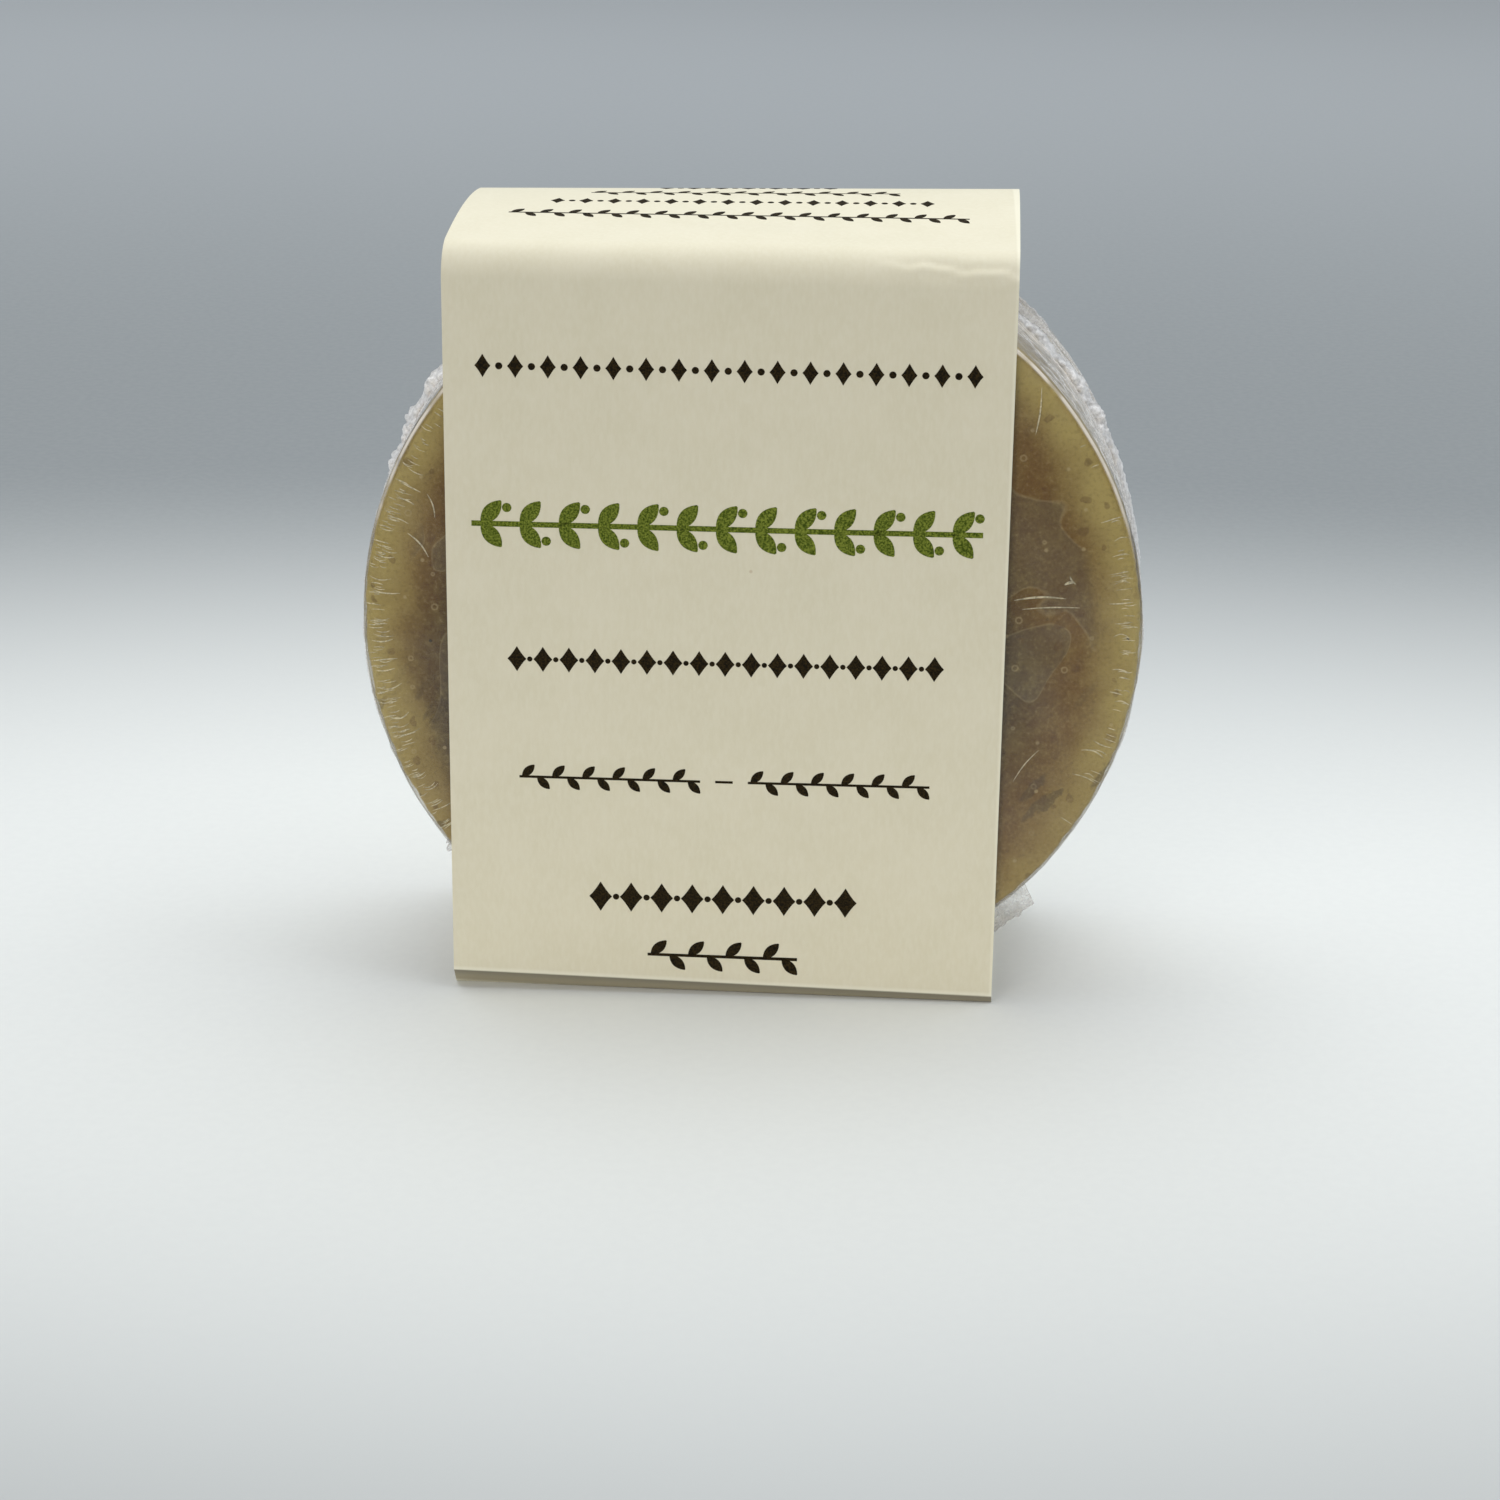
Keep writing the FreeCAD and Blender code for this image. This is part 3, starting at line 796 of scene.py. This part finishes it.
def build_flap(material, name, middle, spread, reach, lean, seed, taper, ruffle, ragged):
    """A flap of spare film that stands out of the weld: a thin wavy sheet, narrower at its tip, with a rolled
    edge. A lean below 0 is towards the front."""
    rows, columns = 14, 26
    share_out = np.linspace(0, 1, rows)[:, None]
    share_round = np.linspace(-1, 1, columns)[None, :]
    angle = math.radians(middle) + math.radians(spread) / 2 * (1 - taper * share_out) * share_round
    wave = ripple(share_round * 2.2, share_out, seed, (1, 4), (0.3, 1.5), 10)
    torn = 1 + ragged * ripple(share_round * 3, 0, seed + 1, (2, 7), (0, 0), 6)
    out = FILM_RADIUS + 0.1 * MM + reach * MM * share_out * torn
    depth = SEAM_MIDDLE + lean * MM * share_out + ruffle * MM * wave * (0.25 + share_out)
    spots = np.broadcast_arrays(CENTRE.x + out * np.cos(angle), depth, CENTRE.z + out * np.sin(angle))
    outer = np.stack(spots, axis=-1)
    inner = outer + np.array([0, FILM_THICKNESS * 1.4, 0])
    corners, faces = thick_sheet(outer, inner)
    edge = np.concatenate([outer[1:-1, 0], outer[-1], outer[-2:0:-1, -1]])
    hem_corners, hem_faces = join_tubes([hem(edge, 0.09 * MM)])
    faces += [tuple(corner + len(corners) for corner in face) for face in hem_faces]
    corners = np.concatenate([corners, hem_corners])
    add_piece(name, corners, faces, material, "puck", sharp=80)


# ---------------- the paper band

TOP_BEND = 3.44 * MM
CROWN_SLOPE = math.radians(7.76)
CROWN_ROUNDING = 0.74
SHOULDER_DROP = 0.24 * MM
# The crease along the bottom of a panel: its height, and how far in the paper meets the floor.
CREASE_HEIGHT = 1.45 * MM
CREASE_RUN = 0.95 * MM
CREASE_TILT = 0.62 * MM
FOOT_TILT = 0.65 * MM
# The strip isn't folded quite square: a shift, a skew and a narrowing towards the back.
SHIFT = 0.154 * MM
SHEAR = 0.03
NARROWING = 0.012
SIDE_TRIM = 0.08 * MM
BACK_LIFT = 0.93 * MM
BACK_LIFT_TILT = 0.51 * MM
# How far the paper bows, wavers, is dented, is pleated and is pushed up by the cake.
PANEL_BOW = 0.16 * MM
PANEL_WAVER = 0.05 * MM
CORNER_DENT = 0.16 * MM
BEND_DENT = 0.05 * MM
PLEAT = 0.11 * MM
PUSH = 0.28 * MM


def rounded_path(stops, straight_step, arc_step):
    """Points along a chain of straights whose corners are rounded. A stop is (y, z, corner radius)."""
    spots = [Vector((y, z)) for y, z, _ in stops]
    points = [spots[0]]
    for k in range(1, len(stops) - 1):
        before = (spots[k] - spots[k - 1]).normalized()
        after = (spots[k + 1] - spots[k]).normalized()
        turn = before.angle_signed(after)
        radius = stops[k][2]
        reach = radius * math.tan(abs(turn) / 2)
        start = spots[k] - before * reach
        side = -1 if turn > 0 else 1
        centre = start + Vector((-before.y, before.x)) * radius * side
        points += straight(points[-1], start, straight_step)
        steps = max(3, math.ceil(radius * abs(turn) / arc_step))
        for j in range(1, steps + 1):
            arm = start - centre
            arm.rotate(Matrix.Rotation(-turn * j / steps, 2))
            points.append(centre + arm)
    return points + straight(points[-1], spots[-1], straight_step)


def straight(start, end, step):
    """Even steps from a start, which is left out, to an end."""
    count = max(1, math.ceil((end - start).length / step))
    return [start.lerp(end, k / count) for k in range(1, count + 1)]


def strip_path():
    """The strip's outer face, from its outer end under the cake, up the front, over and down the back."""
    lap = CENTRE.y - glue_low.y + 2 * MM
    front, back, top = band_low.y, band_high.y, band_high.z
    half = (back - front) / 2
    rise = half * math.tan(CROWN_SLOPE)
    shoulder = top - rise / 2 - SHOULDER_DROP
    crown_radius = half / math.tan(CROWN_SLOPE) * CROWN_ROUNDING
    return rounded_path([
        (lap, band_low.z, 0),
        (front + CREASE_RUN, band_low.z, 0.5 * MM),
        (front, band_low.z + CREASE_HEIGHT, 0.2 * MM),
        (front, shoulder, TOP_BEND),
        ((front + back) / 2, shoulder + rise, crown_radius),
        (back, shoulder, TOP_BEND),
        (back, LAP_LEVEL + CREASE_HEIGHT, 0.2 * MM),
        (back - CREASE_RUN, LAP_LEVEL, 0.5 * MM),
        (-lap, LAP_LEVEL, 0),
    ], 1.0 * MM, 0.3 * MM)


PATH = np.array(strip_path())
STEPS = np.linalg.norm(np.diff(PATH, axis=0), axis=1)
PATH_RUN = np.concatenate([[0], np.cumsum(STEPS)])
TANGENT = unit(np.gradient(PATH, PATH_RUN, axis=0))
OUTWARD = np.stack([-TANGENT[:, 1], TANGENT[:, 0]], axis=1)
GOING_UP = slice(len(PATH) // 2)
BEND_HEIGHT = band_high.z - TOP_BEND
BEND_START = float(np.interp(BEND_HEIGHT, PATH[GOING_UP, 1], PATH_RUN[GOING_UP]))


def panel_bow(share, y, z):
    """How far the front and back panels bow out between their folds."""
    on_front = 1 - smooth(band_low.y + 1 * MM, band_low.y + 3 * MM, y)
    on_back = smooth(band_high.y - 3 * MM, band_high.y - 1 * MM, y)
    share_up = np.clip((z - CREASE_HEIGHT) / (BEND_HEIGHT - CREASE_HEIGHT), 0, 1)
    waver = ripple(share * 2, z, 61, (1, 3), (10, 45), 10)
    bow = PANEL_BOW * (1 - share ** 2) + PANEL_WAVER * waver
    return (on_front + on_back) * np.sin(share_up * math.pi) * bow


def bend_wrinkles(share, run):
    """Small dents along the front bend, and a slanting pleat at its right end."""
    bend = np.exp(-((run - BEND_START - 1.2 * MM) / (1.7 * MM)) ** 2)
    ripples = 0.5 + 0.5 * np.sin(share * 34 + 2.2 * np.sin(share * 11))
    dent = CORNER_DENT * smooth(0.55, 0.8, share) * ripples
    dent = dent + BEND_DENT * smooth(0.2, 0.6, np.abs(share)) * (0.5 + 0.5 * np.sin(share * 19))
    waver = 0.22 * np.sin(share * 29) + 0.15 * np.sin(share * 67 + 1) - 2.2 * (share - 0.75)
    past_fold = run - BEND_START - (1.0 + waver) * MM
    ridge = np.exp(-(past_fold / (0.4 * MM)) ** 2)
    hollow = np.exp(-((past_fold - 0.7 * MM) / (0.45 * MM)) ** 2)
    return PLEAT * (ridge - 0.8 * hollow) * smooth(0.45, 0.7, share) - bend * dent


def paper_point(x, run, depth):
    """A point of the band: x is the place across it, run the distance along the strip from its outer end and
    depth the distance in from its outer face."""
    share = (x - BAND_MIDDLE) / BAND_HALF
    y, z, out_y, out_z = (np.interp(run, PATH_RUN, line) for line in (*PATH.T, *OUTWARD.T))
    out = panel_bow(share, y, z) + bend_wrinkles(share, run) - depth

    front, back, top = band_low.y, band_high.y, band_high.z
    low = 1 - smooth(front + 2 * MM, front + 5 * MM, y)
    crease = smooth(0, CREASE_HEIGHT, z) * (1 - smooth(CREASE_HEIGHT, CREASE_HEIGHT + 5 * MM, z)) * low
    foot = (1 - smooth(0.0, CREASE_HEIGHT, z)) * (1 - smooth(front + CREASE_RUN, front + 5 * MM, y))
    high = smooth(top - 12 * MM, top - 2 * MM, z) * smooth(front + 3 * MM, back - 3 * MM, y)
    on_cake = np.exp(-((x - CENTRE.x) / (9 * MM)) ** 2 - ((y + 8.5 * MM) / (3 * MM)) ** 2)
    pushed = PUSH * on_cake * smooth(top - 4 * MM, top - 2 * MM, z)
    lift = (BACK_LIFT + BACK_LIFT_TILT * share) * high + pushed

    new_x = x + SHIFT - share * SIDE_TRIM + (SHEAR - NARROWING * share) * (y - front)
    new_y = y + out_y * out - FOOT_TILT * share * foot
    new_z = z + out_z * out - CREASE_TILT * share * crease + lift
    return np.stack(np.broadcast_arrays(new_x, new_y, new_z), axis=-1)


BAND_COLUMNS = 96


def build_band(material):
    """The strip of card, a sheet of real thickness folded round the cake."""
    across = np.linspace(band_low.x, band_high.x, BAND_COLUMNS)[None, :]
    runs = PATH_RUN[:, None]
    outer = paper_point(across, runs, 0.0)
    inner = paper_point(across, runs, PAPER_THICKNESS)
    corners, faces = thick_sheet(outer, inner)
    add_piece("card_band", corners, faces, material, "band", ["paper_band"], sharp=50)


# ---------------- printed ornaments

INK_RISE = 0.02 * MM
# The corners across a shape, enough of them to follow the bowed paper.
WIDTHS = np.linspace(0, 1, 5)[None, :, None]


def ribbon(length, half_heights):
    """A shape along the row: pairs of points below and above its spine, (pairs, 2, 2)."""
    along = np.linspace(-length / 2, length / 2, len(half_heights))
    below = np.stack([along, -np.asarray(half_heights)], axis=1)
    return np.stack([below, below * (1, -1)], axis=1)


def leaf(length, width, lean):
    """A pointed leaf from its foot at the origin, leaning by an angle from the row's direction."""
    share = np.linspace(0.02, 0.98, 9)
    shape = shifted(ribbon(length, width / 2 * np.sin(share * math.pi) ** 0.8), length / 2)
    turn = np.array([[math.cos(lean), math.sin(lean)], [-math.sin(lean), math.cos(lean)]])
    return shape @ turn


def diamond(width, height):
    """A four-pointed lozenge with slightly hollow sides."""
    from_tip = 1 - np.abs(np.linspace(-0.96, 0.96, 9))
    return ribbon(width, height / 2 * from_tip ** 1.25)


def dot(size):
    return ribbon(size, size / 2 * np.sqrt(1 - np.linspace(-0.98, 0.98, 9) ** 2))


def dash(length, height):
    """A bar with corners every few millimetres, so that it can follow the paper."""
    return ribbon(length, [height / 2] * (math.ceil(length / (1.5 * MM)) + 1))


def shifted(shape, across, up=0.0):
    return shape + np.array([across, up])


def places(length, step):
    """Evenly spaced places centred on the row."""
    count = max(1, round(length / step))
    return [(k - (count - 1) / 2) * length / count for k in range(count)]


def garland_row(length, height):
    """Pairs of leaves along a stem, with a bead between each pair."""
    step = height * 0.84
    shapes = [dash(length, height * 0.12)]
    for k, place in enumerate(places(length, step)):
        for lean in (math.radians(50), math.radians(-50)):
            shapes.append(shifted(leaf(height * 0.66, height * 0.34, lean), place - step * 0.25))
        shapes.append(shifted(dot(height * 0.2), place + step * 0.4, height * 0.36 * (-1) ** k))
    return shapes


def lozenge_row(length, height):
    """Lozenges with a small dot in each gap."""
    step = height * 0.98
    lozenges = [shifted(diamond(step * 0.72, height), place) for place in places(length, step)]
    return lozenges + [shifted(dot(height * 0.2), place) for place in places(length - step, step)]


def sprig_row(length, height):
    """Small leaning leaves, alternately up and down, like an ear of wheat."""
    step = height * 0.62
    shapes = [dash(length, height * 0.1)]
    for k, place in enumerate(places(length, step)):
        lean = math.radians(46) * (-1) ** k
        shapes.append(shifted(leaf(height * 0.7, height * 0.34, lean), place - step * 0.3))
    return shapes


def spaced_row(length, height):
    """Small lozenges and dots, widely spaced."""
    step = height * 0.68
    shapes = []
    for k, place in enumerate(places(length, step)):
        shape = diamond(height * 0.66, height) if k % 2 == 0 else dot(height * 0.3)
        shapes.append(shifted(shape, place))
    return shapes


def parted_row(length, height):
    """Two runs of sprigs with a dash between them."""
    run = (length - height * 1.9) / 2
    shapes = [dash(height * 0.7, height * 0.1)]
    for side in (-1, 1):
        shapes += [shifted(shape, side * (length - run) / 2) for shape in sprig_row(run, height)]
    return shapes


def build_print(name, rows, material):
    """All rows of one ink as thin closed plates on the paper. A row is (run, maker, length, height)."""
    tubes = []
    for run, maker, length, height in rows:
        for shape in maker(length * MM, height * MM):
            spread = shape[:, :1] + (shape[:, 1:] - shape[:, :1]) * WIDTHS
            x = BAND_MIDDLE + spread[..., 0]
            along = run + spread[..., 1]
            top = paper_point(x, along, -INK_RISE)
            under = paper_point(x, along, INK_RISE)
            tubes.append(np.concatenate([top, under[:, ::-1]], axis=1))
    corners, faces = join_tubes(tubes)
    add_piece(name, corners, faces, material, "band", sharp=30)


def front_run(height):
    """Distance along the strip of a height on the front panel."""
    return BEND_START - (BEND_HEIGHT - height * MM)


def top_run(distance):
    """Distance along the strip of a place on the top, counted from the start of the front bend."""
    return BEND_START + distance * MM


# ---------------- the scene round the object

def build_stage(material):
    """A pale floor that sweeps up into a backdrop."""
    width, front, back, radius, top = 9.0, -4.5, 4.5, 0.5, 3.0
    line = rounded_path([(front, 0, 0), (back, 0, radius), (back, top, 0)], width, radius / 15)
    corners = [(side * width / 2, spot.x, spot.y - 0.02 * MM) for spot in line for side in (-1, 1)]
    faces = [(2 * k, 2 * k + 1, 2 * k + 3, 2 * k + 2) for k in range(len(line) - 1)]
    add_mesh("sweep", corners, faces, material)


def stage_material():
    """Pale studio paper with a painted pool of light round the object that falls off to grey away from it."""
    n = Nodes("studio_paper")
    x, y, _ = n.split(n.place)
    away = n.length(n.times(x, 0.5), y)
    # Painted light: pale near the object and grey away from it, like a pool of light on the floor.
    colour = n.blend(n.fade(away, 0.035, 0.185), tint(234, 235, 231), tint(143, 147, 148))
    colour = n.blend(n.fade(away, 0.2, 0.6), colour, tint(176, 180, 182))
    grain = n.noise(n.place, 900, 4)
    colour = n.blend(n.fade(grain, 0.3, 0.7, 0.0, 0.05), colour, tint(200, 200, 200))
    return n.finish(n.principled({"Base Color": colour, "Roughness": 0.8, "Specular IOR Level": 0.2}))


def area_light(name, place, size, power, colour):
    """A rectangular light that points at the cake."""
    data = bpy.data.lights.new(name, "AREA")
    data.shape = "RECTANGLE"
    data.size, data.size_y = size
    data.energy = power
    data.color = colour
    lamp = add_object(name, data)
    lamp.location = place
    lamp.rotation_euler = (CENTRE - Vector(place)).to_track_quat("-Z", "Y").to_euler()


def build_lights():
    """A broad cool light overhead and a little behind, a warm fill from the front, and a dim even world."""
    area_light("overhead", (0.05, 0.2, 0.74), (1.4, 0.8), 6.8, (0.92, 0.96, 1.0))
    area_light("front_fill", (-0.5, -1.8, 0.86), (1.6, 1.2), 12.6, (1.0, 0.955, 0.905))
    world = bpy.data.worlds.new("studio")
    world.use_nodes = True
    background = world.node_tree.nodes["Background"]
    background.inputs["Color"].default_value = (0.86, 0.9, 0.95, 1)
    background.inputs["Strength"].default_value = 0.39
    bpy.context.scene.world = world
    bpy.context.scene.view_settings.view_transform = "Standard"


# The camera's place from the cake's centre in cake radii, its angles in radians, and its lens in millimetres.
CAMERA_PLACE = Vector((0.355, -8.95, 2.919))
CAMERA_YAW, CAMERA_PITCH, CAMERA_ROLL = -0.041, 0.36, 0.013
CAMERA_LENS, CAMERA_SENSOR = 84.9, 36


def build_camera():
    """The camera that looks down at the front of the object."""
    data = bpy.data.cameras.new("camera")
    data.lens, data.sensor_width = CAMERA_LENS, CAMERA_SENSOR
    data.clip_start, data.clip_end = 0.01, 10
    camera = add_object("camera", data)
    turn = (Matrix.Rotation(-CAMERA_YAW, 4, "Z") @ Matrix.Rotation(math.pi / 2 - CAMERA_PITCH, 4, "X")
            @ Matrix.Rotation(CAMERA_ROLL, 4, "Z"))
    camera.matrix_world = Matrix.Translation(CENTRE + CAMERA_PLACE * SOAP_RADIUS) @ turn
    bpy.context.scene.camera = camera


# ---------------- putting it together

film_clear = clear_film_material()
fold_frost = frosted_material("pinched_film", 0.3, 0.85, (250, 238, 196), 0.5, 0.2, 0.1)
weld_frost = frosted_material("melted_film", 0.75, 1.0, (255, 252, 248), 0.35, 0.5, 0.5)
flap_frost = frosted_material("spare_film", 0.12, 0.5, (226, 228, 230), 0.15)

build_soap(soap_material())
build_film("film_front_sheet", -1, FRONT_BRIM, film_clear, "film_front")
build_film("film_back_sheet", 1, BACK_BRIM, film_clear, "film_back")
build_folds(-1, "film_front_folds", fold_frost, 71)
build_folds(1, "film_back_folds", fold_frost, 81)
build_weld(weld_frost)
for flap in FLAPS:
    build_flap(flap_frost, *flap)

build_band(paper_material())
dark_ink = ink_material("dark_ink", tint(16, 11, 2), tint(54, 42, 18))
green_ink = ink_material("green_ink", tint(60, 76, 8), tint(134, 145, 56))
# Printed rows: distance along the strip, kind of row, length and height in millimetres.
build_print("print_dark", [
    (front_run(65.2), spaced_row, 48.7, 2.3),
    (front_run(35.7), lozenge_row, 43.7, 2.6),
    (front_run(23.3), parted_row, 40.9, 2.5),
    (front_run(10.6), lozenge_row, 27.8, 3.2),
    (front_run(4.3), sprig_row, 15.2, 3.2),
    (top_run(12), sprig_row, 45, 2.3),
    (top_run(16.7), spaced_row, 38, 2.1),
    (top_run(21.0), sprig_row, 31, 2.3),
    (top_run(25.2), spaced_row, 18, 2.1),
], dark_ink)
build_print("print_green", [(front_run(49.5), garland_row, 49.7, 4.6)], green_ink)
glue_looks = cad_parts["band_glue"].data.materials
glue_looks.clear()
glue_looks.append(glue_material())

build_stage(stage_material())
build_lights()
build_camera()
